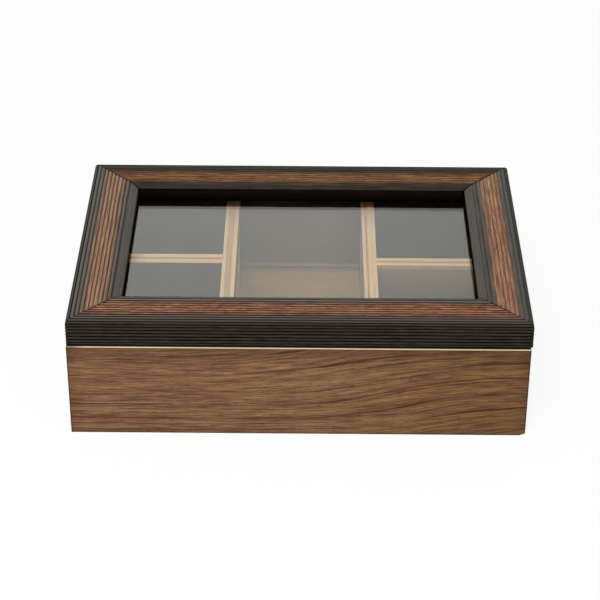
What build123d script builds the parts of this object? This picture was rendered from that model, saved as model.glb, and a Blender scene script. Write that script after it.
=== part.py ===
from build123d import *
from math import cos, pi, sin
import os

# Glass-lidded box for tea bags: a veneered wooden box with five compartments, under a lid made of
# four mitred reeded picture-frame rails and a glass pane, hung on two brass stop hinges.
# Millimetres. +X runs to the box's right, +Y to its back and +Z up. The origin is the centre of
# the underside, on the surface that the box stands on.

# ---------------------------------------------------------------- box
body_width = 279.0
body_depth = 200.0
body_height = 62.4
veneer = 0.6
board = 9.4
bottom_thickness = 3.0
bottom_ledge = 5.0
bottom_clearance = 0.3
housing_depth = 3.0
veneer_edge_radius = 0.5
worn_corner = (3.4, 3.0, 1.5)

# ---------------------------------------------------------------- dividers
divider_thickness = 8.7
left_cross_thickness = 10.9
long_divider_x = {"left": -45.1, "right": 45.1}
cross_divider_y = {"left": 2.0, "right": -0.2}
cross_thickness = {"left": left_cross_thickness, "right": divider_thickness}

# ---------------------------------------------------------------- lid frame
lid_width = 280.0
lid_depth = 198.0
lid_height = 17.7
lid_centre_x = 0.5
rail_width = 31.4
sight_edge_height = 15.5
band_start = 25.7
band_step = 0.5
band_crown = 0.15
rabbet_width = 9.0
rabbet_height = 8.8
mitre_gap = 0.2

# Reeds follow the rail from the foot of its outer face, round the shoulder and across its top.
reed_start = 0.6
reed_depth = 0.55
edge_round = 1.2
shoulder_radius = 3.0
foot_reed_pitch = 1.35
face_reeds = 5
face_reed_pitch = 2.27
shoulder_reeds = 3
top_reeds = 9
top_reed_pitch = 2.57

# ---------------------------------------------------------------- glass and its points
glass_thickness = 2.5
glass_clearance = 0.5
point_thickness = 0.5
point_width = 6.0
point_length = 9.0
point_bite = 4.0
points_on_long_rail = 3
points_on_short_rail = 2

# ---------------------------------------------------------------- nails and brads
corner_nail_height = 8.0
corner_nail_thickness = 0.6
corner_nail_leg = 5.0
corner_nail_angle = 40.0
corner_nail_insets = (7.0, 16.0)
brad_radius = 0.6
brad_head_radius = 1.2
brad_head_thickness = 0.6
brad_length = 15.0
brads_on_long_side = 4
brads_on_short_side = 4

# ---------------------------------------------------------------- hinges and screws
hinge_x = 80.0
hinge_length = 28.0
hinge_leaf_thickness = 1.0
hinge_leaf_width = 8.6
knuckle_radius = 2.2
knuckle_gap = 0.2
knuckle_clearance = 0.3
pin_radius = 1.0
pin_clearance = 0.05
pin_head_radius = 1.5
pin_head_thickness = 0.6
lid_opening = 100.0
stop_reach = 6.0
stop_clearance = 0.4
screw_spacing = 17.0
screw_inset = 4.7
screw_head_radius = 2.0
screw_sink = 0.1
screw_radius = 1.1
screw_length = 11.0
screw_point = 1.6
screw_slot_width = 0.5
screw_slot_depth = 0.5
screw_slot_turn = 20.0

# ---------------------------------------------------------------- derived places
inner_depth = body_depth - 2 * (veneer + board)
back = body_depth / 2
lid_centre_y = back - lid_depth / 2
glass_top = body_height + rabbet_height
glass_bottom = glass_top - glass_thickness
pin_y = back + knuckle_radius + knuckle_clearance
pin_z = body_height
knuckle_length = hinge_length / 3
hinge_centres = {"left": -hinge_x, "right": hinge_x}

os.makedirs("parts", exist_ok=True)


def save(piece, name):
    """Label a finished piece and write it to its own file."""
    piece.part.label = name
    export_step(piece.part, f"parts/{name}.step")


def side_plane(side, width, depth, centre_x=0.0, centre_y=0.0, height=0.0):
    """Plane at the middle of one side's outer face: x along the side, y inward, z up."""
    outward = {"front": (0, -1), "right": (1, 0), "back": (0, 1), "left": (-1, 0)}[side]
    place = (centre_x + outward[0] * width / 2, centre_y + outward[1] * depth / 2, height)
    return Plane(origin=place, x_dir=(-outward[1], outward[0], 0), z_dir=(0, 0, 1))


def spread(count, span):
    """Even places along a span, centred on its middle."""
    pitch = span / count
    return [(i - (count - 1) / 2) * pitch for i in range(count)]


# ================================================================ fasteners
# They come first, because the wood and the leaves are cut to take them.

# Headed brads, driven up through the bottom panel into the ledge of each side.
brad_inset = veneer + board - bottom_ledge / 2
brad_x = body_width / 2 - brad_inset
brad_y = body_depth / 2 - brad_inset
brad_places = ([(x, y) for x in spread(brads_on_long_side, 2 * brad_x) for y in (-brad_y, brad_y)]
               + [(x, y) for x in (-brad_x, brad_x) for y in spread(brads_on_short_side, 2 * brad_y)])
with BuildPart() as bottom_brads:
    with BuildSketch(Plane.XY):
        with Locations(*brad_places):
            Circle(brad_head_radius)
    extrude(amount=brad_head_thickness)
    with BuildSketch(Plane.XY.offset(brad_head_thickness)):
        with Locations(*brad_places):
            Circle(brad_radius)
    extrude(amount=brad_length - brad_head_thickness)
save(bottom_brads, "bottom_brads")


def screw_blank(head_face):
    """Countersunk screw without its slot, standing point up on z = 0, its head's face at a height."""
    with BuildPart() as blank:
        with BuildSketch(Plane.XZ):
            with BuildLine():
                Polyline((0, head_face), (screw_head_radius, head_face),
                         (screw_head_radius, screw_sink), (screw_radius, hinge_leaf_thickness),
                         (screw_radius, screw_length - screw_point), (0, screw_length), close=True)
            make_face()
        revolve(axis=Axis.Z)
    return blank.part


screw_hole = screw_blank(-screw_sink)
with BuildPart() as hinge_screw:
    add(screw_blank(screw_sink / 2))
    with BuildSketch(Plane.XY):
        Rectangle(2 * screw_head_radius + 1, screw_slot_width, rotation=screw_slot_turn)
    extrude(amount=screw_slot_depth, mode=Mode.SUBTRACT)

screw_y = back - screw_inset
screw_x = [x + step for x in hinge_centres.values() for step in (-screw_spacing / 2, screw_spacing / 2)]
up_places = [Location((x, screw_y, body_height)) for x in screw_x]
down_places = [Location((x, screw_y, body_height), (180, 0, 0)) for x in screw_x]

with BuildPart() as base_hinge_screws:
    with Locations(*down_places):
        add(hinge_screw.part)
save(base_hinge_screws, "base_hinge_screws")

with BuildPart() as lid_hinge_screws:
    with Locations(*up_places):
        add(hinge_screw.part)
save(lid_hinge_screws, "lid_hinge_screws")

with BuildPart() as base_screw_holes:
    with Locations(*down_places):
        add(screw_hole)

with BuildPart() as lid_screw_holes:
    with Locations(*up_places):
        add(screw_hole)


with BuildPart() as glazing_points:
    for side, count, span in (("front", points_on_long_rail, lid_width),
                              ("back", points_on_long_rail, lid_width),
                              ("left", points_on_short_rail, lid_depth),
                              ("right", points_on_short_rail, lid_depth)):
        base = side_plane(side, lid_width, lid_depth, lid_centre_x, lid_centre_y,
                          glass_bottom - point_thickness)
        wall = rail_width - rabbet_width
        with BuildSketch(base):
            with Locations([(step, wall - point_bite) for step in spread(count, span - 2 * rail_width)]):
                Trapezoid(point_width, point_length, 75, align=(Align.CENTER, Align.MIN))
        extrude(amount=point_thickness)
save(glazing_points, "glazing_points")


# A corner nail is a bent steel strip. Its point lies on the mitre and each leg bites one rail.
with BuildPart() as corner_nails:
    for x_sign in (-1, 1):
        for y_sign in (-1, 1):
            inward = Plane(origin=(lid_centre_x + x_sign * lid_width / 2,
                                   lid_centre_y + y_sign * lid_depth / 2, body_height),
                           x_dir=(-x_sign, -y_sign, 0), z_dir=(0, 0, 1))
            for inset in corner_nail_insets:
                reach = inset * 2 ** 0.5
                with BuildSketch(inward):
                    for turn in (corner_nail_angle, -corner_nail_angle):
                        with Locations(Location((reach, 0), turn)):
                            Rectangle(corner_nail_leg, corner_nail_thickness,
                                      align=(Align.MIN, Align.CENTER))
                extrude(amount=corner_nail_height)
save(corner_nails, "corner_nails")


# ================================================================ hinges

def leaf_outline(plane, upper, knuckle):
    """Section of one hinge leaf across the pin: x is the box's +Y from the pin, y is up.

    Where the leaf has a knuckle, its plate and its stop run to the knuckle. Elsewhere both are
    cut back, so that the other leaf's knuckle turns freely.
    """
    up = 1 if upper else -1
    inner_edge = back - hinge_leaf_width - pin_y
    plate_end = 0.0 if knuckle else back - pin_y
    stop_start = pin_radius + pin_clearance if knuckle else knuckle_radius + knuckle_clearance
    with BuildSketch(plane) as outline:
        with Locations(((inner_edge + plate_end) / 2, up * hinge_leaf_thickness / 2)):
            Rectangle(plate_end - inner_edge, hinge_leaf_thickness)
        with Locations(Location((0, 0), up * (lid_opening + stop_clearance) / 2)):
            with Locations(((stop_start + stop_reach) / 2, up * hinge_leaf_thickness / 2)):
                Rectangle(stop_reach - stop_start, hinge_leaf_thickness)
        if knuckle:
            Circle(knuckle_radius)
            Circle(pin_radius + (pin_clearance if upper else 0), mode=Mode.SUBTRACT)
    return outline.sketch


def hinge_leaf(centre, upper, screw_holes):
    """One leaf of a three-knuckle butt hinge. The upper leaf has the middle knuckle."""
    start = centre - hinge_length / 2
    with BuildPart() as leaf:
        for index in range(3):
            knuckle = (index == 1) == upper
            gap = knuckle_gap / 2 if knuckle else -knuckle_gap / 2
            low = start + index * knuckle_length + (gap if index > 0 else 0)
            high = start + (index + 1) * knuckle_length - (gap if index < 2 else 0)
            section = Plane(origin=(low, pin_y, pin_z), x_dir=(0, 1, 0), z_dir=(1, 0, 0))
            extrude(leaf_outline(section, upper, knuckle), amount=high - low)
        add(screw_holes, mode=Mode.SUBTRACT)
    return leaf


def hinge_pin(centre):
    """Pin through the three knuckles, with a small head at each end."""
    with BuildPart() as pin:
        with BuildSketch(Plane(origin=(centre - hinge_length / 2, pin_y, pin_z), z_dir=(1, 0, 0))):
            Circle(pin_radius)
        extrude(amount=hinge_length)
        for end, way in ((-hinge_length / 2, -1), (hinge_length / 2, 1)):
            with BuildSketch(Plane(origin=(centre + end, pin_y, pin_z), z_dir=(way, 0, 0))):
                Circle(pin_head_radius)
            extrude(amount=pin_head_thickness)
    return pin


hinge_leaves = {}
for side, centre in hinge_centres.items():
    hinge_leaves[side, "base"] = hinge_leaf(centre, False, base_screw_holes.part)
    save(hinge_leaves[side, "base"], f"{side}_hinge_base_leaf")
    hinge_leaves[side, "lid"] = hinge_leaf(centre, True, lid_screw_holes.part)
    save(hinge_leaves[side, "lid"], f"{side}_hinge_lid_leaf")
    save(hinge_pin(centre), f"{side}_hinge_pin")


# ================================================================ box

def mitred_footprint(plane, length, width, gap=0.0):
    """Plan of a mitred board or rail: long outer edge, short inner edge.

    gap is what stays open across each mitre, shared between the two pieces that meet there.
    """
    outer = length / 2 - gap / 2 ** 0.5
    inner = outer - width
    with BuildSketch(plane) as footprint:
        with BuildLine():
            Polyline((-outer, 0), (outer, 0), (inner, width), (-inner, width), close=True)
        make_face()
    return footprint.sketch


# The box's lower right front corner is worn off. Its sides and veneers are cut by this plane.
worn_plane = Plane(
    origin=(body_width / 2 - worn_corner[0], -body_depth / 2, 0),
    z_dir=(1 / worn_corner[0], -1 / worn_corner[1], -1 / worn_corner[2]))
worn_sides = ("front", "right")


def side_board(side, length, housings):
    """One mitred side of the box, with a ledge for the bottom and housings for dividers."""
    core = side_plane(side, body_width - 2 * veneer, body_depth - 2 * veneer)
    with BuildPart() as piece:
        extrude(mitred_footprint(core, length, board), amount=body_height)
        with BuildSketch(core):
            with Locations((0, board - bottom_ledge)):
                Rectangle(length, bottom_ledge, align=(Align.CENTER, Align.MIN))
        extrude(amount=bottom_thickness, mode=Mode.SUBTRACT)
        for along, thickness in housings:
            with BuildSketch(core.offset(bottom_thickness)):
                with Locations((along, board - housing_depth)):
                    Rectangle(thickness, housing_depth, align=(Align.CENTER, Align.MIN))
            extrude(amount=body_height, mode=Mode.SUBTRACT)
        add(bottom_brads.part, mode=Mode.SUBTRACT)
        if side == "back":
            add(base_screw_holes.part, mode=Mode.SUBTRACT)
            for name in hinge_centres:
                add(hinge_leaves[name, "base"].part, mode=Mode.SUBTRACT)
        if side in worn_sides:
            split(bisect_by=worn_plane, keep=Keep.BOTTOM)
    return piece


long_housings = [(x, divider_thickness) for x in long_divider_x.values()]
core_width = body_width - 2 * veneer
core_depth = body_depth - 2 * veneer
boards = {
    "front": (core_width, long_housings),
    "back": (core_width, [(-x, thickness) for x, thickness in long_housings]),
    "left": (core_depth, [(-cross_divider_y["left"], cross_thickness["left"])]),
    "right": (core_depth, [(cross_divider_y["right"], cross_thickness["right"])]),
}
for side, (length, housings) in boards.items():
    save(side_board(side, length, housings), f"{side}_board")

# The front and back veneers cover the edges of the side veneers.
for side, length in (("front", body_width), ("back", body_width),
                     ("left", core_depth), ("right", core_depth)):
    with BuildPart() as sheet:
        with BuildSketch(side_plane(side, body_width, body_depth)):
            Rectangle(length, veneer, align=(Align.CENTER, Align.MIN))
        extrude(amount=body_height)
        if side in ("front", "back"):
            outer_edges = sheet.edges().filter_by(Axis.Z).group_by(Axis.Y)
            fillet(outer_edges[0 if side == "front" else -1], radius=veneer_edge_radius)
        if side == "back":
            for name in hinge_centres:
                add(hinge_leaves[name, "base"].part, mode=Mode.SUBTRACT)
        if side in worn_sides:
            split(bisect_by=worn_plane, keep=Keep.BOTTOM)
    save(sheet, f"{side}_veneer")

with BuildPart() as bottom_panel:
    with BuildSketch(Plane.XY):
        Rectangle(body_width - 2 * (veneer + board - bottom_ledge + bottom_clearance),
                  body_depth - 2 * (veneer + board - bottom_ledge + bottom_clearance))
    extrude(amount=bottom_thickness)
    add(bottom_brads.part, mode=Mode.SUBTRACT)
save(bottom_panel, "bottom_panel")

for side, x in long_divider_x.items():
    with BuildPart() as long_divider:
        with BuildSketch(Plane.XY.offset(bottom_thickness)):
            with Locations((x, 0)):
                Rectangle(divider_thickness, inner_depth + 2 * housing_depth)
        extrude(amount=body_height - bottom_thickness)
    save(long_divider, f"{side}_long_divider")

for side, outward in (("left", -1), ("right", 1)):
    inner_end = long_divider_x[side] + outward * divider_thickness / 2
    outer_end = outward * (body_width / 2 - veneer - board + housing_depth)
    with BuildPart() as cross_divider:
        with BuildSketch(Plane.XY.offset(bottom_thickness)):
            with Locations(((inner_end + outer_end) / 2, cross_divider_y[side])):
                Rectangle(abs(outer_end - inner_end), cross_thickness[side])
        extrude(amount=body_height - bottom_thickness)
    save(cross_divider, f"{side}_cross_divider")


# ================================================================ lid

def contour(run, depth):
    """Point under the rail's reeded skin: how far in from the outer face, and how high.

    run is the length along the skin from the first reed's foot, and depth is how far below it.
    """
    face = lid_height - shoulder_radius - reed_start
    bend = shoulder_radius * pi / 2
    if run <= face:
        return (depth, reed_start + run)
    if run >= face + bend:
        return (shoulder_radius + run - face - bend, lid_height - depth)
    angle = (run - face) / shoulder_radius
    radius = shoulder_radius - depth
    return (shoulder_radius - radius * cos(angle),
            lid_height - shoulder_radius + radius * sin(angle))


def groove_runs():
    """Runs along the skin at which one reed ends and the next begins."""
    shoulder_begin = foot_reed_pitch + face_reeds * face_reed_pitch
    skin_end = (lid_height - shoulder_radius - reed_start + shoulder_radius * (pi / 2 - 1)
                + band_start)
    top_begin = skin_end - top_reeds * top_reed_pitch
    shoulder_pitch = (top_begin - shoulder_begin) / shoulder_reeds
    return ([0.0] + [foot_reed_pitch + i * face_reed_pitch for i in range(face_reeds)]
            + [shoulder_begin + i * shoulder_pitch for i in range(shoulder_reeds)]
            + [top_begin + i * top_reed_pitch for i in range(top_reeds + 1)])


def rail_section(plane):
    """Section of the picture-frame moulding: x in from the outer face, y up."""
    grooves = groove_runs()
    with BuildSketch(plane) as section:
        with BuildLine():
            for low, high in zip(grooves, grooves[1:]):
                ThreePointArc(contour(low, reed_depth), contour((low + high) / 2, 0),
                              contour(high, reed_depth))
            band_top = (band_start + band_step, lid_height - band_step / 2)
            sight = (rail_width, sight_edge_height)
            crown = ((band_top[0] + sight[0]) / 2, (band_top[1] + sight[1]) / 2 + band_crown)
            Line(contour(grooves[-1], reed_depth), band_top)
            ThreePointArc(band_top, crown, sight)
            Polyline(sight, (rail_width, rabbet_height),
                     (rail_width - rabbet_width, rabbet_height),
                     (rail_width - rabbet_width, 0), (edge_round, 0),
                     contour(0, reed_depth))
        make_face()
    return section.sketch


lid_hardware = [corner_nails.part, glazing_points.part, lid_screw_holes.part,
                hinge_leaves["left", "lid"].part, hinge_leaves["right", "lid"].part]
for side, length in (("front", lid_width), ("back", lid_width),
                     ("left", lid_depth), ("right", lid_depth)):
    foot = side_plane(side, lid_width, lid_depth, lid_centre_x, lid_centre_y, body_height)
    with BuildPart() as rail:
        across = Plane(origin=foot.origin, x_dir=foot.y_dir, z_dir=foot.x_dir)
        extrude(rail_section(across), amount=length / 2, both=True)
        extrude(mitred_footprint(foot, length, rail_width, mitre_gap), amount=lid_height,
                mode=Mode.INTERSECT)
        for piece in lid_hardware:
            add(piece, mode=Mode.SUBTRACT)
    save(rail, f"{side}_rail")

with BuildPart() as glass_pane:
    with BuildSketch(Plane.XY.offset(glass_bottom)):
        with Locations((lid_centre_x, lid_centre_y)):
            Rectangle(lid_width - 2 * (rail_width - rabbet_width + glass_clearance),
                      lid_depth - 2 * (rail_width - rabbet_width + glass_clearance))
    extrude(amount=glass_thickness)
save(glass_pane, "glass_pane")
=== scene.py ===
from math import cos, pi, sin

import bpy
from mathutils import Matrix, Vector


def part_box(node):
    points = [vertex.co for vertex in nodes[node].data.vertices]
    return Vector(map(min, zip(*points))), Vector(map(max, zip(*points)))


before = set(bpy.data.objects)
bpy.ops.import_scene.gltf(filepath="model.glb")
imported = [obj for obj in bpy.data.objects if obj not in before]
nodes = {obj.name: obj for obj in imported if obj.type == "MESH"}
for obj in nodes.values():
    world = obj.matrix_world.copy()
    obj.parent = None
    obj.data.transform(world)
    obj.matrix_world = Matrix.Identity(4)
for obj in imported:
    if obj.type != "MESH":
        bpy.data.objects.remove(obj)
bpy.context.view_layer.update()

# Glass-lidded box for tea bags: finishes, studio light and camera. Every piece is a node of the
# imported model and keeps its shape. Places are metres, and patterns inside materials are worked out
# in millimetres of the same frame: +X to the box's right, +Y to its back, +Z up. Colours are
# display values of 0 to 255.

MM = 1000.0
SIDES = ("front", "back", "left", "right")


# ================================================================ building materials

def linear(colour):
    """Linear RGBA of a display colour."""
    def channel(value):
        share = value / 255
        return share / 12.92 if share <= 0.04045 else ((share + 0.055) / 1.055) ** 2.4
    return (*(channel(value) for value in colour), 1.0)


class Graph:
    """Nodes of a material or world. Each call adds nodes and returns its result's socket.

    A fade is the arguments of rise after its value, and a band is those of hump.
    """

    def __init__(self, owner):
        self.owner = owner
        owner.use_nodes = True
        self.tree = owner.node_tree
        self.tree.nodes.clear()

    def node(self, kind, inputs, **settings):
        """Add a shader node. Its inputs are plain values or other nodes' sockets."""
        made = self.tree.nodes.new("ShaderNode" + kind)
        for key, value in settings.items():
            setattr(made, key, value)
        for key, value in inputs.items():
            if isinstance(value, bpy.types.NodeSocket):
                self.tree.links.new(value, made.inputs[key])
            else:
                made.inputs[key].default_value = value
        return made

    def maths(self, operation, *values):
        return self.node("Math", dict(enumerate(values)), operation=operation).outputs[0]

    def add(self, a, b):
        return self.maths("ADD", a, b)

    def minus(self, a, b):
        return self.maths("SUBTRACT", a, b)

    def times(self, a, b):
        return self.maths("MULTIPLY", a, b)

    def over(self, a, b):
        return self.maths("DIVIDE", a, b)

    def larger(self, a, b):
        return self.maths("MAXIMUM", a, b)

    def smaller(self, a, b):
        return self.maths("MINIMUM", a, b)

    def unsigned(self, value):
        return self.maths("ABSOLUTE", value)

    def rise(self, value, start, end, low=0.0, high=1.0):
        """low up to start, smoothly on to high at end. It falls where start is above end."""
        inputs = {"Value": value, "From Min": start, "From Max": end, "To Min": low, "To Max": high}
        return self.node("MapRange", inputs, interpolation_type="SMOOTHSTEP").outputs["Result"]

    def hump(self, value, start, full, fade, end):
        """0 outside start to end and 1 between full and fade."""
        return self.times(self.rise(value, start, full), self.rise(value, end, fade))

    def split(self, vector):
        return self.node("SeparateXYZ", {0: vector}).outputs

    def place(self):
        """x, y and z of the point in the object's own frame, in millimetres."""
        spot = self.node("TexCoord", {}).outputs["Object"]
        scaled = self.node("VectorMath", {0: spot, "Scale": MM}, operation="SCALE")
        return self.split(scaled.outputs[0])

    def facing(self):
        """x, y and z of the surface's direction in the object's own frame."""
        return self.split(self.node("TexCoord", {}).outputs["Normal"])

    def noise(self, spot, sizes, detail=2.0, roughness=0.5):
        """Soft noise from 0 to 1 whose blots are sizes millimetres along each of the spot's axes."""
        x, y, z = (self.over(value, size) for value, size in zip(spot, sizes))
        vector = self.node("CombineXYZ", {"X": x, "Y": y, "Z": z}).outputs[0]
        inputs = {"Vector": vector, "Scale": 1.0, "Detail": detail, "Roughness": roughness}
        return self.node("TexNoise", inputs).outputs["Fac"]

    def mix(self, factor, low, high):
        """Colour from low to high."""
        made = self.node("Mix", {0: factor, 6: low, 7: high}, data_type="RGBA")
        return made.outputs[2]

    def tint(self, colour, amount, factors):
        """colour multiplied by red, green and blue factors, by that amount."""
        made = self.node("Mix", {0: amount, 6: colour, 7: (*factors, 1.0)}, data_type="RGBA",
                         blend_type="MULTIPLY")
        return made.outputs[2]

    def darken(self, colour, amount, shade):
        """colour seen through a display colour as through a stain, by that amount."""
        return self.tint(colour, amount, linear(shade)[:3])

    def ramp(self, value, stops):
        """Colour by value. Each stop is a value and its display colour."""
        made = self.node("ValToRGB", {"Fac": value})
        elements = made.color_ramp.elements
        while len(elements) < len(stops):
            elements.new(1.0)
        for element, (position, colour) in zip(elements, stops):
            element.position = position
            element.color = linear(colour)
        return made.outputs["Color"]

    def bump(self, height, depth):
        """Surface direction for relief that is depth millimetres from low to high."""
        inputs = {"Height": height, "Distance": depth / MM, "Strength": 1.0}
        return self.node("Bump", inputs).outputs["Normal"]

    def shader(self, **inputs):
        named = {key.replace("_", " "): value for key, value in inputs.items()}
        return self.node("BsdfPrincipled", named).outputs["BSDF"]

    def finish(self, shader):
        """The finished material, with that shader on its surface."""
        self.node("OutputMaterial", {"Surface": shader}).is_active_output = True
        return self.owner


def new_material(name):
    return Graph(bpy.data.materials.new(name))


def dress(material, *names):
    """Give CAD nodes their material, in every slot that they have."""
    for name in names:
        node = nodes[name]
        if not node.material_slots:
            node.data.materials.append(material)
        for place in node.material_slots:
            place.material = material


def runs_along_x(side):
    return side in ("front", "back")


# ================================================================ reeded moulding of the lid

lid_low = [min(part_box(f"{side}_rail")[0][axis] for side in SIDES) * MM for axis in (0, 1)]
lid_high = [max(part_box(f"{side}_rail")[1][axis] for side in SIDES) * MM for axis in (0, 1)]
lid_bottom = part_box("front_rail")[0].z * MM
lid_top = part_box("front_rail")[1].z * MM
glass_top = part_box("glass_pane")[1].z * MM
rail_width = (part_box("left_rail")[1].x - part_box("left_rail")[0].x) * MM

# Fades and bands across a rail, in millimetres in from its outer face.
SHOULDER_RADIUS = 3.0
FACE = (3.4, 2.6)
REEDED = (26.5, 26.1)
REEDS_LEFT_OPEN = (6.0, 11.0, 17.0, 20.0)
OUTER_GROOVES = (2.0, 3.5, 9.0, 13.0)
# Painted highlight: the charcoal is paler over the shoulder.
LIT_SHOULDER = (0.2, 1.2, 4.0, 9.0)
LIGHTER_BAND = (24.0, 27.0)
# Painted highlight along the last reed's crest.
LAST_CREST_HIGHLIGHT = (23.9, 24.2, 25.1, 25.4)
BAND_EDGE = (25.3, 25.7)
RABBET = (20.0, 20.5)
SEAM_SHOWS = (4.0, 18.0, 0.35, 1.0)
LIP = (rail_width - 0.25, rail_width - 0.05)

# Fades up a rail, in millimetres above the table.
RABBET_CEILING = (glass_top + 0.2, glass_top + 0.1)
UNDERSIDE = (lid_bottom + 0.25, lid_bottom + 0.05)
LIP_TOP = (lid_top - 7.7, lid_top - 4.7)

# Fades over the depth below the reeds' crests, and along the front rail from the middle leftwards.
GROOVE_DEPTH = (0.05, 0.30)
OUTER_GROOVE_DEPTH = (0.03, 0.22)
OUTER_GROOVES_FADE = (90.0, 0.0, 0.2, 1.0)

CLOGGED_RELIEF = 0.1
BAND_LIGHTENING = 1.18
WANDER = 4.0

TAN_REEDS = [(0.36, (92, 54, 32)), (0.50, (138, 92, 58)), (0.64, (178, 130, 88))]
RED_REEDS = [(0.36, (94, 48, 32)), (0.50, (146, 90, 62)), (0.64, (176, 122, 90))]
CHARCOAL_REEDS = [(0.34, (36, 31, 25)), (0.50, (50, 44, 37)), (0.66, (62, 56, 47))]
PORE_SHADE = (104, 88, 76)
GROOVE_SHADE = (72, 60, 50)
OUTER_GROOVE_SHADE = (126, 106, 90)
CREST_HIGHLIGHT_COLOUR = (112, 96, 84)
BAND_SHADE = (184, 164, 144)
SEAM_SHADE = (52, 42, 36)
PAINTED_BLACK = (10, 7, 5)

# Each rail's own finish. The arguments are described in moulding.
RAILS = {
    "front": dict(seed=0.0, relief=0.85, gloss=0.32, brown=(3.0, 14.0, 17.5, 26.0),
                  fibre_length=9.0, dashes=1.0, lined=True),
    "back": dict(seed=40.0, relief=0.4, gloss=0.06, brown=(7.0, 17.0, 20.5, 28.5),
                 fibre_length=14.0, dashes=0.6, tone=0.8, stain=(0.94, 1.07, 1.07)),
    "left": dict(seed=80.0, relief=0.65, gloss=0.38, brown=(5.2, 13.0, 17.5, 26.5),
                 fibre_length=28.0, dashes=0.3, stain=(0.96, 1.18, 1.22),
                 shoulder=(66, 61, 55), lip_top=(76, 71, 64)),
    "right": dict(seed=120.0, relief=0.34, gloss=0.25, brown=(5.0, 12.0, 17.0, 23.0),
                  fibre_length=20.0, dashes=0.6, tone=0.96, stain=(1.13, 1.33, 1.38),
                  shoulder=(58, 55, 50), lip_top=(26, 22, 18), clogged=True),
}


def depth_below_crests(g, inset, z):
    """Millimetres below the reeds' crests, over face, shoulder and top alike."""
    out_of_face = g.larger(g.minus(SHOULDER_RADIUS, inset), 0.0)
    out_of_top = g.larger(g.minus(SHOULDER_RADIUS, g.minus(lid_top, z)), 0.0)
    squares = g.add(g.times(out_of_face, out_of_face), g.times(out_of_top, out_of_top))
    return g.minus(SHOULDER_RADIUS, g.maths("SQRT", squares))


def painted_faces(g, inset, z):
    """1 on the lip over the glass, in the rabbet below it and on the underside."""
    lip = g.rise(inset, *LIP)
    rabbet = g.times(g.rise(z, *RABBET_CEILING), g.rise(inset, *RABBET))
    under = g.rise(z, *UNDERSIDE)
    return g.larger(g.larger(lip, rabbet), under)


def mitre_seam(g, inset, z, to_end, seed):
    """Glue and grime that darken the seam of the mitre, unevenly along it."""
    width = g.rise(g.noise((inset, z, seed), (3.0, 3.0, 1.0)), 0.3, 0.7, 0.8, 1.5)
    seam = g.rise(g.minus(to_end, inset), width, g.times(width, 0.5))
    return g.times(seam, g.rise(inset, *SEAM_SHOWS))


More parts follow.
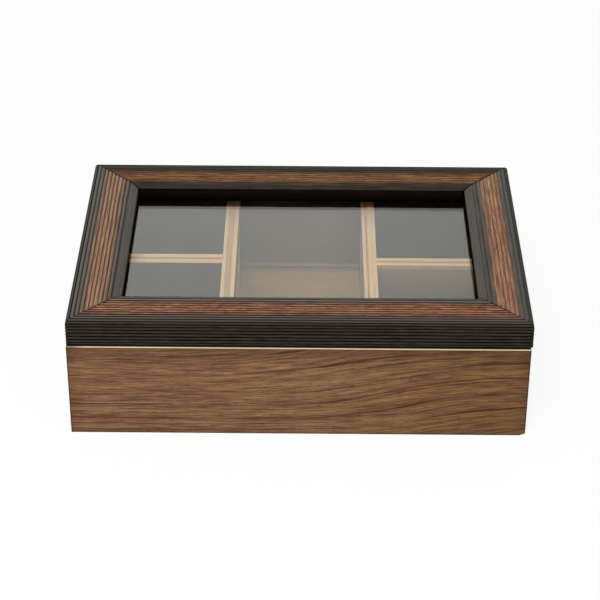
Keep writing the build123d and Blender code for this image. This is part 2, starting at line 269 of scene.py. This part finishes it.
def moulding(side, seed, relief, gloss, brown, fibre_length, dashes, tone=1.0,
             stain=(1.0, 1.0, 1.0), shoulder=(72, 66, 58), lip_top=(20, 13, 9),
             clogged=False, lined=False):
    """Dark stained moulding, brown along the middle reeds, with charcoal edges and inner band.

    relief is how dark the grooves on top are, and gloss how much the crests shine. brown is the
    band, from the outer face inwards, that is brown. dashes is how strong the short dark pores
    are. tone is how light the whole rail is, and stain tints its brown reeds. shoulder is the
    paler colour painted beside the outer edge as a highlight where light falls on the shoulder,
    and lip_top the colour at the top of the lip over the glass.
    clogged fills the outer and inner grooves with stain. lined darkens the outer grooves and the
    inner band and paints a highlight on the last reed's crest.
    """
    g = new_material(f"moulding_{side}")
    x, y, z = g.place()
    across, along = (y, x) if runs_along_x(side) else (x, y)
    across_axis = 1 if runs_along_x(side) else 0
    along_axis = 1 - across_axis
    if side in ("front", "left"):
        inset = g.minus(across, lid_low[across_axis])
    else:
        inset = g.minus(lid_high[across_axis], across)
    to_end = g.smaller(g.minus(along, lid_low[along_axis]), g.minus(lid_high[along_axis], along))

    skin = depth_below_crests(g, inset, z)
    face = g.rise(inset, *FACE)
    reeded = g.rise(inset, *REEDED)
    if clogged:
        left_open = g.times(g.hump(inset, *REEDS_LEFT_OPEN), 1.0 - CLOGGED_RELIEF)
        reeded = g.times(reeded, g.add(CLOGGED_RELIEF, left_open))
    groove = g.times(g.rise(skin, *GROOVE_DEPTH), g.times(reeded, g.larger(face, relief)))

    # Pores are short dashes, and clouds let the brown's edges wander across the reeds.
    spot = (along, across, g.add(z, seed))
    fibre = g.noise(spot, (fibre_length, 0.55, 0.55), detail=3.0, roughness=0.6)
    dash = g.noise(spot, (5.0, 0.6, 0.6), roughness=0.55)
    cloud = g.noise(spot, (38.0, 5.0, 5.0))
    patch = g.noise(spot, (16.0, 2.2, 2.2))
    wandering = g.add(inset, g.times(g.minus(cloud, 0.5), WANDER))
    brown_share = g.hump(wandering, *brown)

    tan = g.mix(g.rise(patch, 0.42, 0.58), g.ramp(fibre, TAN_REEDS), g.ramp(fibre, RED_REEDS))
    tan = g.tint(tan, 1.0, stain)
    charcoal = g.ramp(fibre, CHARCOAL_REEDS)
    # Painted highlight on the shoulder, where light falls on it.
    charcoal = g.mix(g.hump(inset, *LIT_SHOULDER), charcoal, linear(shoulder))
    charcoal = g.tint(charcoal, g.rise(inset, *LIGHTER_BAND), (BAND_LIGHTENING,) * 3)
    colour = g.mix(brown_share, charcoal, tan)
    pores = g.times(g.rise(dash, 0.48, 0.34), g.times(brown_share, dashes))
    colour = g.darken(colour, pores, PORE_SHADE)
    colour = g.darken(colour, groove, GROOVE_SHADE)
    if lined:
        outer_groove = g.times(g.rise(skin, *OUTER_GROOVE_DEPTH), g.hump(inset, *OUTER_GROOVES))
        outer_groove = g.times(outer_groove, g.rise(along, *OUTER_GROOVES_FADE))
        colour = g.darken(colour, outer_groove, OUTER_GROOVE_SHADE)
        # Painted highlight on the last reed's crest.
        colour = g.mix(g.hump(inset, *LAST_CREST_HIGHLIGHT), colour, linear(CREST_HIGHLIGHT_COLOUR))
        colour = g.darken(colour, g.rise(inset, *BAND_EDGE), BAND_SHADE)
    colour = g.tint(colour, 1.0, (tone, tone, tone))

    painted = painted_faces(g, inset, z)
    paint = g.mix(g.rise(z, *LIP_TOP), linear(PAINTED_BLACK), linear(lip_top))
    colour = g.mix(painted, colour, paint)
    colour = g.darken(colour, mitre_seam(g, inset, z, to_end, seed), SEAM_SHADE)

    height = g.add(g.times(fibre, 0.6), g.times(g.rise(dash, 0.30, 0.5), 0.6 * dashes))
    dull = g.larger(painted, g.larger(g.times(face, 0.85), groove))
    shine = g.times(g.minus(1.0, dull), gloss)
    shader = g.shader(Base_Color=colour, Roughness=g.rise(fibre, 0.3, 0.7, 0.46, 0.38),
                      Specular_IOR_Level=shine, Normal=g.bump(height, 0.05))
    return g.finish(shader)


# ================================================================ walnut veneer of the box

# The top edges, with a dark line of painted shadow where the lid's front foot stands over them, and
# darker towards the left end.
EDGE_CREAM = (240, 219, 178)
LID_FOOT_SHADOW_LINE = tuple(lid_low[1] + past for past in (-0.9, -0.5, 1.4, 1.8))
LID_FOOT_SHADOW_COLOUR = (24, 16, 10)
LEFT_END_FADE = (-126.0, -138.0)
LEFT_END_SHADE = (168, 158, 146)

# The veins leave the level early near the top of the sheet and late near its foot.
SWEEP_LEVEL = 38.0
SWEEP_LEAN = 1.7
SWEEP_REACH = 90.0
SWEEP_SLOPE = 0.0025
GROUND_SWEEP = 0.85
WAVE_HEIGHT = 3.0

# Growth rings: how far apart they are, how far they drift, where in each ring its vein lies, and
# the blots in which the vein comes and goes.
RINGS = dict(pitch=9.8, drifting=1.15, vein=(0.84, 0.93, 0.96, 1.0),
             blots=(70.0, 7.0, 7.0), presence=(0.38, 0.62, 0.1, 0.85))
THIN_RINGS = dict(pitch=4.3, drifting=1.9, vein=(0.72, 0.86, 0.90, 1.0),
                  blots=(40.0, 4.0, 4.0), presence=(0.44, 0.62, 0.0, 0.75))
LATE_WOOD = (0.35, 0.90, 0.96, 1.0)
LATE_WOOD_STRENGTH = 0.25

WALNUT_GROUND = [(0.34, (111, 82, 56)), (0.50, (126, 96, 67)), (0.66, (141, 110, 78))]
WARM_GROUND = [(0.34, (111, 78, 54)), (0.66, (136, 101, 72))]
PALE_FIBRE = (166, 132, 92)
FIBRE_SHADE = (206, 192, 176)
LATE_WOOD_SHADE = (212, 200, 186)
VEIN_SHADE = (150, 114, 78)
THIN_VEIN_SHADE = (168, 136, 100)
WALNUT_PORE_SHADE = (192, 176, 158)

# Fades along a sheet and up it, in millimetres, each with its shade.
WARM_END = (-10.0, 130.0)
WARM_END_SHADE = (233, 226, 203)
UNDER_LID = (51.0, 60.0)
UNDER_LID_SHADE = (216, 212, 208)
# Painted shadow along the foot of the sheet, where it meets the table.
FOOT_SHADOW_FADE = (1.4, 0.4)
FOOT_PAINTED_SHADOW = (196, 180, 160)

# Fades over the distance to a sheet's nearer end, each with its shade.
NEAR_END = (12.0, 1.0)
NEAR_END_SHADE = (236, 230, 222)
# Painted shade on the sheet's rounded corners.
CORNER_SHADE_FADE = (1.3, 0.5)
CORNER_PAINTED_SHADE = (186, 166, 146)

FACES_UP = (0.5, 0.7)

VENEERS = {
    "front": dict(seed=0.0, sweep_rise=15.0, sweep_centre=33.0),
    "back": dict(seed=90.0, sweep_rise=9.0, sweep_centre=-20.0),
    "left": dict(seed=170.0),
    "right": dict(seed=250.0),
}


def shadow_lined_edge(g, x, y, colour):
    """colour of the top edges, with the painted shadow line under the lid's front foot and darker
    towards the left end.
    """
    colour = g.darken(colour, g.rise(x, *LEFT_END_FADE), LEFT_END_SHADE)
    # Painted shadow: the dark line under the lid's front foot.
    return g.mix(g.hump(y, *LID_FOOT_SHADOW_LINE), colour, linear(LID_FOOT_SHADOW_COLOUR))


def veins(g, spot, level, drift, pitch, drifting, vein, blots, presence):
    """Place in the growth ring, from 0 to 1, and the share of its dark vein."""
    ring = g.maths("FRACT", g.add(g.over(level, pitch), g.times(drift, drifting)))
    present = g.rise(g.noise(spot, blots), *presence)
    return ring, g.times(g.hump(ring, *vein), present)


def walnut(side, seed, sweep_rise=0.0, sweep_centre=0.0):
    """Walnut veneer with level grain. sweep_rise lifts the grain to the right of sweep_centre."""
    g = new_material(f"walnut_{side}")
    x, y, z = g.place()
    along, depth = (x, y) if runs_along_x(side) else (y, x)

    start = g.add(sweep_centre, g.times(g.minus(SWEEP_LEVEL, z), SWEEP_LEAN))
    past = g.minus(along, start)
    sweep = g.add(g.rise(past, -SWEEP_REACH, SWEEP_REACH, 0.0, sweep_rise),
                  g.times(g.larger(past, 0.0), SWEEP_SLOPE * sweep_rise))
    wave = g.noise((along, z, seed), (60.0, 22.0, 1.0))
    level = g.add(g.minus(z, sweep), g.times(g.minus(wave, 0.5), WAVE_HEIGHT))
    spot = (along, level, g.add(depth, seed))
    flatter = (along, g.minus(z, g.times(sweep, GROUND_SWEEP)), g.add(depth, seed))

    # The ground between the veins is nearly even, with short fine fibres.
    fibre = g.noise(flatter, (18.0, 0.7, 0.7), detail=3.0, roughness=0.6)
    mottle = g.noise(flatter, (60.0, 3.0, 3.0), detail=3.0, roughness=0.6)
    tone = g.noise(spot, (90.0, 12.0, 12.0))
    pore = g.noise(flatter, (5.0, 0.5, 0.5), detail=1.0)
    colour = g.mix(g.rise(tone, 0.38, 0.66), g.ramp(mottle, WALNUT_GROUND),
                   g.ramp(mottle, WARM_GROUND))
    colour = g.darken(colour, g.rise(fibre, 0.54, 0.36), FIBRE_SHADE)
    colour = g.mix(g.rise(fibre, 0.52, 0.68, 0.0, 0.4), colour, linear(PALE_FIBRE))

    # Each growth ring darkens slowly and ends in a thin dark vein that comes and goes.
    drift = g.noise(spot, (150.0, 48.0, 48.0), detail=1.0)
    ring, vein = veins(g, spot, level, drift, **RINGS)
    _, thin_vein = veins(g, spot, level, drift, **THIN_RINGS)
    late_wood = g.times(g.hump(ring, *LATE_WOOD), LATE_WOOD_STRENGTH)
    colour = g.darken(colour, late_wood, LATE_WOOD_SHADE)
    colour = g.darken(colour, vein, VEIN_SHADE)
    colour = g.darken(colour, thin_vein, THIN_VEIN_SHADE)
    colour = g.darken(colour, g.rise(pore, 0.40, 0.30), WALNUT_PORE_SHADE)

    # The sheet is a little more orange towards its right end, and darker round its rim, with painted
    # shadow along its foot and painted shade on its rounded corners.
    sheet_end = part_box(f"{side}_veneer")[1][0 if runs_along_x(side) else 1] * MM
    to_end = g.minus(sheet_end, g.unsigned(along))
    colour = g.darken(colour, g.rise(along, *WARM_END), WARM_END_SHADE)
    colour = g.darken(colour, g.rise(z, *UNDER_LID), UNDER_LID_SHADE)
    colour = g.darken(colour, g.rise(z, *FOOT_SHADOW_FADE), FOOT_PAINTED_SHADOW)
    colour = g.darken(colour, g.rise(to_end, *NEAR_END), NEAR_END_SHADE)
    colour = g.darken(colour, g.rise(to_end, *CORNER_SHADE_FADE), CORNER_PAINTED_SHADE)
    top_edge = g.rise(g.facing()[2], *FACES_UP)
    # The cream top edge takes the painted shadow line under the lid's front foot.
    colour = g.mix(top_edge, colour, shadow_lined_edge(g, x, y, linear(EDGE_CREAM)))

    height = g.add(g.times(fibre, 0.5), g.rise(pore, 0.30, 0.40))
    shader = g.shader(Base_Color=colour, Roughness=g.rise(mottle, 0.3, 0.7, 0.58, 0.46),
                      Specular_IOR_Level=0.15, Normal=g.bump(height, 0.03))
    return g.finish(shader)


# ================================================================ boards, dividers and bottom

DENSE_STAIN = [(0.35, (12, 9, 7)), (0.65, (24, 18, 14))]
THIN_STAIN = [(0.35, (42, 24, 10)), (0.65, (62, 40, 22))]
# The paler wood colour also stands for painted light on the dividers' faces.
PALE_WOOD_TONE = [(0.35, (160, 121, 78)), (0.65, (188, 150, 104))]
PALE_CORE = [(0.30, (216, 190, 150)), (0.55, (236, 216, 182)), (0.75, (243, 228, 198))]
PLY_TOP = [(0.36, (140, 109, 76)), (0.64, (162, 134, 101))]
DARK_PLY = [(0.36, (86, 52, 27)), (0.64, (112, 76, 45))]
BOTTOM_STAIN = [(0.30, (100, 72, 36)), (0.70, (120, 90, 48))]
BOTTOM_BARE = [(0.30, (186, 152, 112)), (0.70, (214, 184, 144))]

EDGE_FACING = (0.5, 0.6)
FIBRE_RELIEF = 0.03

# The back wall's stain is thin in the middle compartment. A paler line runs along its foot,
# sloping by LINE_SLOPE.
THIN_ACROSS = (-46.0, -38.0, 22.0, 48.0)
THIN_UP_TO = (50.0, 46.0)
LINE_ACROSS = (-42.0, -36.0, 40.0, 42.0)
LINE_SLOPE = -0.008
LINE_HEIGHT = 5.2
LINE_FADE = (1.6, 0.8, 0.0, 0.22)

# Painted shadow of the lid's rails darkens the ends of the dividers' top edges in two steps, each
# with its shade.
RAIL_SHADOW_STEPS = (((24.5, 21.5), (155, 132, 100)), ((15.5, 12.5), (150, 130, 110)))
# Painted shade under the back rail darkens a long divider's top edge towards its far end.
FAR_END = (52.0, 26.0)
FAR_END_PAINTED_SHADE = (212, 204, 196)

# Fades of painted light over the distance below a divider's top edge, and along a long divider's
# side.
LIT_EDGE_FADE = (5.0, 1.0)
LIT_UPPER_SIDE = (30.0, 4.0)
LIT_LOW_DOWN = (2.0, 26.0, 0.25, 1.0)
LIT_FRONT_PART = (84.0, 56.0)
FACES_MIDDLE = (0.5, 0.7)

# Painted shade on the bottom panel lies dark in the corner along the back wall and thins out before
# it.
BACK_CORNER_SHADOW_SLOPE = -0.012
BACK_CORNER_SHADOW_START = 87.6
BACK_CORNER_SHADOW_FADE = 7.0
BACK_CORNER_SHADOW_EDGE = 1.2
BACK_CORNER_SHADOW_COLOUR = (48, 34, 20)
BACK_CORNER_SHADE = (216, 208, 200)
# Painted light makes the stained inside of the bottom paler towards the left.
LIT_LEFT_PART = (-8.0, -32.0)
PAINTED_LIGHT_FACTOR = 1.2
BOTTOM_FIBRE_SHADE = (190, 178, 166)

# Each divider's own finish. The arguments are described in divider_wood.
DIVIDERS = {
    "left_long_divider": dict(
        along="y", plies=[(0.28, 0.70, 0.5), (0.28, 0.36, 0.5), (0.56, 0.64, 0.5)],
        shaded_ends=("low", "high"), browner=0.5, lit_top=0.08, lit_side=1.0),
    "right_long_divider": dict(
        along="y", plies=[(0.26, 0.38, 1.0), (0.70, 0.76, 0.35)],
        shaded_ends=("low", "high"), browner=0.2, lit_top=0.08, lit_side=0.5),
    "left_cross_divider": dict(
        along="x", plies=[(0.45, 0.63, 1.0), (0.0, 0.22, 0.25)],
        shaded_ends=("low",), browner=0.2, lit_top=0.0),
    "right_cross_divider": dict(
        along="x", plies=[(0.38, 0.58, 1.0)],
        shaded_ends=("high",), browner=0.4, lit_top=0.4),
}


def black_stain(g, spot, browner, pale_share):
    """Near-black stained lining with the grain just showing.

    browner is how thin the stain is, and pale_share how much of a paler wood colour shows, which on
    the dividers' faces is painted light.
    """
    fibre = g.noise(spot, (14.0, 14.0, 0.9), detail=3.0, roughness=0.6)
    patch = g.noise(spot, (60.0, 60.0, 40.0), detail=1.0)
    share = g.larger(browner, g.rise(patch, 0.5, 0.7, 0.0, 0.3))
    stained = g.mix(share, g.ramp(fibre, DENSE_STAIN), g.ramp(fibre, THIN_STAIN))
    return g.mix(pale_share, stained, g.ramp(fibre, PALE_WOOD_TONE))


def matt_wood(g, colour, fibre, shine, rough=0.75, smooth=0.62):
    """Material of unpolished wood that is smoother along its pale fibres."""
    shader = g.shader(Base_Color=colour, Roughness=g.rise(fibre, 0.3, 0.7, rough, smooth),
                      Specular_IOR_Level=shine, Normal=g.bump(fibre, FIBRE_RELIEF))
    return g.finish(shader)


def edge_shine(g, edge):
    """Specular level of a piece that is dull but for its bare edges."""
    return g.rise(edge, 0.0, 1.0, 0.1, 0.3)


def board_wood(side):
    """Pale core shown on the top and bottom edges, and black stain inside the box."""
    g = new_material(f"board_{side}")
    x, y, z = g.place()
    along, across = (x, y) if runs_along_x(side) else (y, x)
    fibre = g.noise((along, across, z), (18.0, 0.7, 0.7), detail=3.0, roughness=0.6)
    edge = g.rise(g.unsigned(g.facing()[2]), *EDGE_FACING)
    browner = pale_share = 0.0
    if side == "back":
        browner = g.times(g.hump(x, *THIN_ACROSS), g.rise(z, *THIN_UP_TO))
        line = g.add(g.times(x, LINE_SLOPE), LINE_HEIGHT)
        pale_share = g.rise(g.unsigned(g.minus(z, line)), *LINE_FADE)
        pale_share = g.times(pale_share, g.hump(x, *LINE_ACROSS))
    # The pale core's top edge takes the painted shadow line under the lid's front foot.
    colour = g.mix(edge, black_stain(g, (x, y, z), browner, pale_share),
                   shadow_lined_edge(g, x, y, g.ramp(fibre, PALE_CORE)))
    return matt_wood(g, colour, fibre, edge_shine(g, edge))


def divider_wood(name, along, plies, shaded_ends, browner, lit_top, lit_side=0.0):
    """Plywood divider: its plies show on the top edge, and its faces are stained black.

    along is the axis that it runs along. plies are the darker plies across the edge: where each
    starts and ends, and how dark it is. shaded_ends are the ends, low or high, whose top edge is
    darkened with painted shadow of the lid's rails. browner is how thin the stain of the faces is.
    lit_top is how much painted light lies on the faces just below the top edge, and lit_side how
    much painted light lies on the lower, front part of a long divider's face towards the middle
    compartment.
    """
    g = new_material(f"plywood_{name}")
    x, y, z = g.place()
    length, width = (x, y) if along == "x" else (y, x)
    low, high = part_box(name)
    width_axis = 1 if along == "x" else 0
    length_axis = 1 - width_axis
    share = g.over(g.minus(width, low[width_axis] * MM), (high[width_axis] - low[width_axis]) * MM)
    wobble = g.noise((length, width, z), (30.0, 4.0, 4.0))
    share = g.add(share, g.times(g.minus(wobble, 0.5), 0.10))
    fibre = g.noise((length, width, z), (22.0, 0.6, 0.6), detail=3.0, roughness=0.6)
    top = g.ramp(fibre, PLY_TOP)
    dark_ply = g.ramp(fibre, DARK_PLY)
    for start, end, strength in plies:
        ply = g.hump(share, start - 0.05, start + 0.03, end - 0.03, end + 0.05)
        top = g.mix(g.times(ply, strength), top, dark_ply)
    to_ends = {"low": g.minus(length, low[length_axis] * MM),
               "high": g.minus(high[length_axis] * MM, length)}
    for end in shaded_ends:
        # Painted shadow of the lid's rails over the divider's ends.
        for fade, shade in RAIL_SHADOW_STEPS:
            top = g.darken(top, g.rise(to_ends[end], *fade), shade)

    edge = g.rise(g.unsigned(g.facing()[2]), *EDGE_FACING)
    below = g.minus(high[2] * MM, z)
    # Painted light on the faces just below the top edge.
    pale_share = g.add(g.rise(below, *LIT_EDGE_FADE, 0.0, 0.6 * lit_top),
                 g.rise(below, *LIT_UPPER_SIDE, 0.0, 0.4 * lit_top))
    if along == "y":
        # Painted shade under the back rail towards the far end.
        top = g.darken(top, g.rise(to_ends["high"], *FAR_END), FAR_END_PAINTED_SHADE)
        # Painted light on the lower, front part of a long divider's face towards the middle
        # compartment.
        toward_middle = g.times(g.facing()[0], 1.0 if high[0] < 0.0 else -1.0)
        low_down = g.times(g.rise(below, *LIT_LOW_DOWN), g.rise(y, *LIT_FRONT_PART))
        side = g.times(g.rise(toward_middle, *FACES_MIDDLE), lit_side)
        pale_share = g.add(pale_share, g.times(side, low_down))
    colour = g.mix(edge, black_stain(g, (x, y, z), browner, pale_share), top)
    return matt_wood(g, colour, fibre, edge_shine(g, edge))


def bottom_wood():
    """Bottom panel: warm brown stain inside the box and bare pale wood underneath."""
    g = new_material("bottom_panel_wood")
    x, y, z = g.place()
    streak = g.noise((x, y, z), (60.0, 4.0, 4.0), detail=3.0, roughness=0.6)
    fibre = g.noise((x, y, z), (14.0, 0.6, 0.6), detail=3.0, roughness=0.6)
    stained = g.ramp(streak, BOTTOM_STAIN)
    # Painted light towards the left.
    stained = g.tint(stained, g.rise(x, *LIT_LEFT_PART), (PAINTED_LIGHT_FACTOR,) * 3)
    # Painted shade in the corner along the back wall, thinning out before it.
    corner = g.add(g.times(x, BACK_CORNER_SHADOW_SLOPE), BACK_CORNER_SHADOW_START)
    stained = g.darken(stained, g.rise(y, g.minus(corner, BACK_CORNER_SHADOW_FADE), corner), BACK_CORNER_SHADE)
    corner_shadow = g.rise(y, corner, g.add(corner, BACK_CORNER_SHADOW_EDGE))
    stained = g.mix(corner_shadow, stained, linear(BACK_CORNER_SHADOW_COLOUR))
    colour = g.mix(g.rise(g.facing()[2], 0.4, 0.6), g.ramp(streak, BOTTOM_BARE), stained)
    colour = g.darken(colour, g.rise(fibre, 0.5, 0.3), BOTTOM_FIBRE_SHADE)
    return matt_wood(g, colour, fibre, 0.3, rough=0.72, smooth=0.6)


# ================================================================ metal and glass

GLASS_TINT = (250, 254, 251)
GLASS_IOR = 1.5


def metal(name, dull, bright, roughness):
    """Metal brushed along X, from a dull to a bright colour, with faint tarnish."""
    g = new_material(name)
    x, y, z = g.place()
    brush = g.noise((x, y, z), (6.0, 0.12, 0.12))
    tarnish = g.noise((x, y, z), (9.0, 9.0, 9.0), detail=3.0)
    colour = g.ramp(tarnish, [(0.35, dull), (0.65, bright)])
    rough = g.add(g.rise(brush, 0.3, 0.7, roughness - 0.06, roughness + 0.06),
                  g.rise(tarnish, 0.6, 0.3, 0.0, 0.1))
    shader = g.shader(Base_Color=colour, Metallic=1.0, Roughness=rough, Normal=g.bump(brush, 0.01))
    return g.finish(shader)


def pane_glass():
    """Clear float glass that lets lamps light what is under it."""
    g = new_material("clear_glass")
    x, y, z = g.place()
    haze = g.noise((x, y, z), (60.0, 40.0, 40.0))
    glass = g.shader(Base_Color=linear(GLASS_TINT), Transmission_Weight=1.0, IOR=GLASS_IOR,
                     Roughness=g.rise(haze, 0.35, 0.75, 0.0, 0.012))
    clear = g.node("BsdfTransparent", {}).outputs[0]
    shadow = g.node("LightPath", {}).outputs["Is Shadow Ray"]
    return g.finish(g.node("MixShader", {0: shadow, 1: glass, 2: clear}).outputs[0])


# ================================================================ dressing the nodes

for side in SIDES:
    dress(moulding(side, **RAILS[side]), f"{side}_rail")
    dress(walnut(side, **VENEERS[side]), f"{side}_veneer")
    dress(board_wood(side), f"{side}_board")
for name, finish in DIVIDERS.items():
    dress(divider_wood(name, **finish), name)
dress(bottom_wood(), "bottom_panel")
dress(pane_glass(), "glass_pane")

brass = metal("brushed_brass", (184, 154, 94), (208, 178, 114), 0.34)
brown_brass = metal("brown_brass", (118, 84, 40), (160, 122, 66), 0.42)
steel = metal("zinc_steel", (150, 150, 148), (190, 190, 188), 0.38)
for side in ("left", "right"):
    dress(brass, f"{side}_hinge_base_leaf", f"{side}_hinge_lid_leaf", f"{side}_hinge_pin")
dress(brown_brass, "base_hinge_screws", "lid_hinge_screws")
dress(steel, "bottom_brads", "glazing_points", "corner_nails")


# ================================================================ floor, light and camera

FLOOR_SIZE = 8.0
FLOOR_GLOW = 0.9
FLOOR_PALE = [(0.3, (245, 245, 245)), (0.7, (248, 248, 247))]
WHITE = (1.0, 1.0, 1.0, 1.0)
AMBIENT = 0.38
RIGHT_FLAG = (0.0, 0.16, 0.0, 0.38)

# Softboxes: width and height in metres, and how bright one looks in a reflection.
LAMP_TARGET = (0.0, 0.0, 0.05)
SOFTBOXES = {
    "back_softbox": dict(place=(0.0, 1.7, 1.25), width=3.0, height=1.7, radiance=0.33,
                         colour=(1.0, 0.98, 0.8)),
    "front_softbox": dict(place=(-0.3, -1.05, 1.4), width=1.0, height=0.9, radiance=8.8,
                          colour=(1.0, 1.0, 1.0)),
}

# The photograph's camera: yaw from +Y, pitch below the horizon and roll about its axis, in
# radians, and lens and sensor in millimetres.
CAMERA_PLACE = (0.003239, -1.085172, 0.716919)
CAMERA_YAW = -0.0026180
CAMERA_PITCH = 0.5615537
CAMERA_ROLL = -0.0060322
CAMERA_LENS = 118.56
CAMERA_SENSOR = 36.0


def white_to_eye(g):
    """1 for rays from the camera, a reflection or glass, and 0 for light that falls on things."""
    path = g.node("LightPath", {}).outputs
    seen = g.larger(path["Is Camera Ray"], path["Is Glossy Ray"])
    return g.larger(seen, path["Is Transmission Ray"])


def floor_finish():
    """Pale matt floor. To the eye it is mostly plain white and still takes the shadow."""
    g = new_material("pale_floor")
    x, y, z = g.place()
    speckle = g.noise((x, y, z), (40.0, 40.0, 40.0), detail=3.0)
    matt = g.node("BsdfDiffuse", {"Color": g.ramp(speckle, FLOOR_PALE)}).outputs[0]
    glow = g.node("Emission", {"Strength": 1.0}).outputs[0]
    share = g.times(white_to_eye(g), FLOOR_GLOW)
    return g.finish(g.node("MixShader", {0: share, 1: matt, 2: glow}).outputs[0])


def add_floor():
    half = FLOOR_SIZE / 2
    mesh = bpy.data.meshes.new("studio_floor")
    mesh.from_pydata([(-half, -half, 0), (half, -half, 0), (half, half, 0), (-half, half, 0)], [],
                     [(0, 1, 2, 3)])
    floor = bpy.data.objects.new("studio_floor", mesh)
    mesh.materials.append(floor_finish())
    bpy.context.scene.collection.objects.link(floor)


def add_world():
    """Plain ambient light. A reflection of it fades on the right, as at a grey flag."""
    world = bpy.data.worlds.new("studio")
    bpy.context.scene.world = world
    g = Graph(world)
    toward_right = g.split(g.node("TexCoord", {}).outputs["Generated"])[0]
    glossy = g.node("LightPath", {}).outputs["Is Glossy Ray"]
    fade = g.times(glossy, g.rise(toward_right, *RIGHT_FLAG))
    light = g.node("Background", {"Color": WHITE, "Strength": AMBIENT}).outputs[0]
    seen = g.node("Background", {"Color": WHITE, "Strength": g.minus(1.0, fade)}).outputs[0]
    shader = g.node("MixShader", {0: white_to_eye(g), 1: light, 2: seen}).outputs[0]
    g.node("OutputWorld", {"Surface": shader})


def add_softbox(name, place, width, height, radiance, colour):
    data = bpy.data.lights.new(name, "AREA")
    data.shape = "RECTANGLE"
    data.size = width
    data.size_y = height
    data.energy = radiance * width * height * pi
    data.color = colour
    lamp = bpy.data.objects.new(name, data)
    lamp.location = place
    toward_target = Vector(LAMP_TARGET) - Vector(place)
    lamp.rotation_euler = toward_target.to_track_quat("-Z", "Y").to_euler()
    lamp.visible_camera = False
    bpy.context.scene.collection.objects.link(lamp)


def add_camera():
    forward = Vector((sin(CAMERA_YAW) * cos(CAMERA_PITCH), cos(CAMERA_YAW) * cos(CAMERA_PITCH),
                      -sin(CAMERA_PITCH)))
    level = Vector((cos(CAMERA_YAW), -sin(CAMERA_YAW), 0.0))
    down = forward.cross(level)
    right = level * cos(CAMERA_ROLL) + down * sin(CAMERA_ROLL)
    low = down * cos(CAMERA_ROLL) - level * sin(CAMERA_ROLL)
    data = bpy.data.cameras.new("camera")
    data.lens = CAMERA_LENS
    data.sensor_width = CAMERA_SENSOR
    camera = bpy.data.objects.new("camera", data)
    camera.matrix_world = (Matrix.Translation(CAMERA_PLACE)
                           @ Matrix((right, -low, -forward)).transposed().to_4x4())
    bpy.context.scene.collection.objects.link(camera)
    bpy.context.scene.camera = camera


add_floor()
add_world()
for name, settings in SOFTBOXES.items():
    add_softbox(name, **settings)
add_camera()
bpy.context.scene.view_settings.view_transform = "Standard"
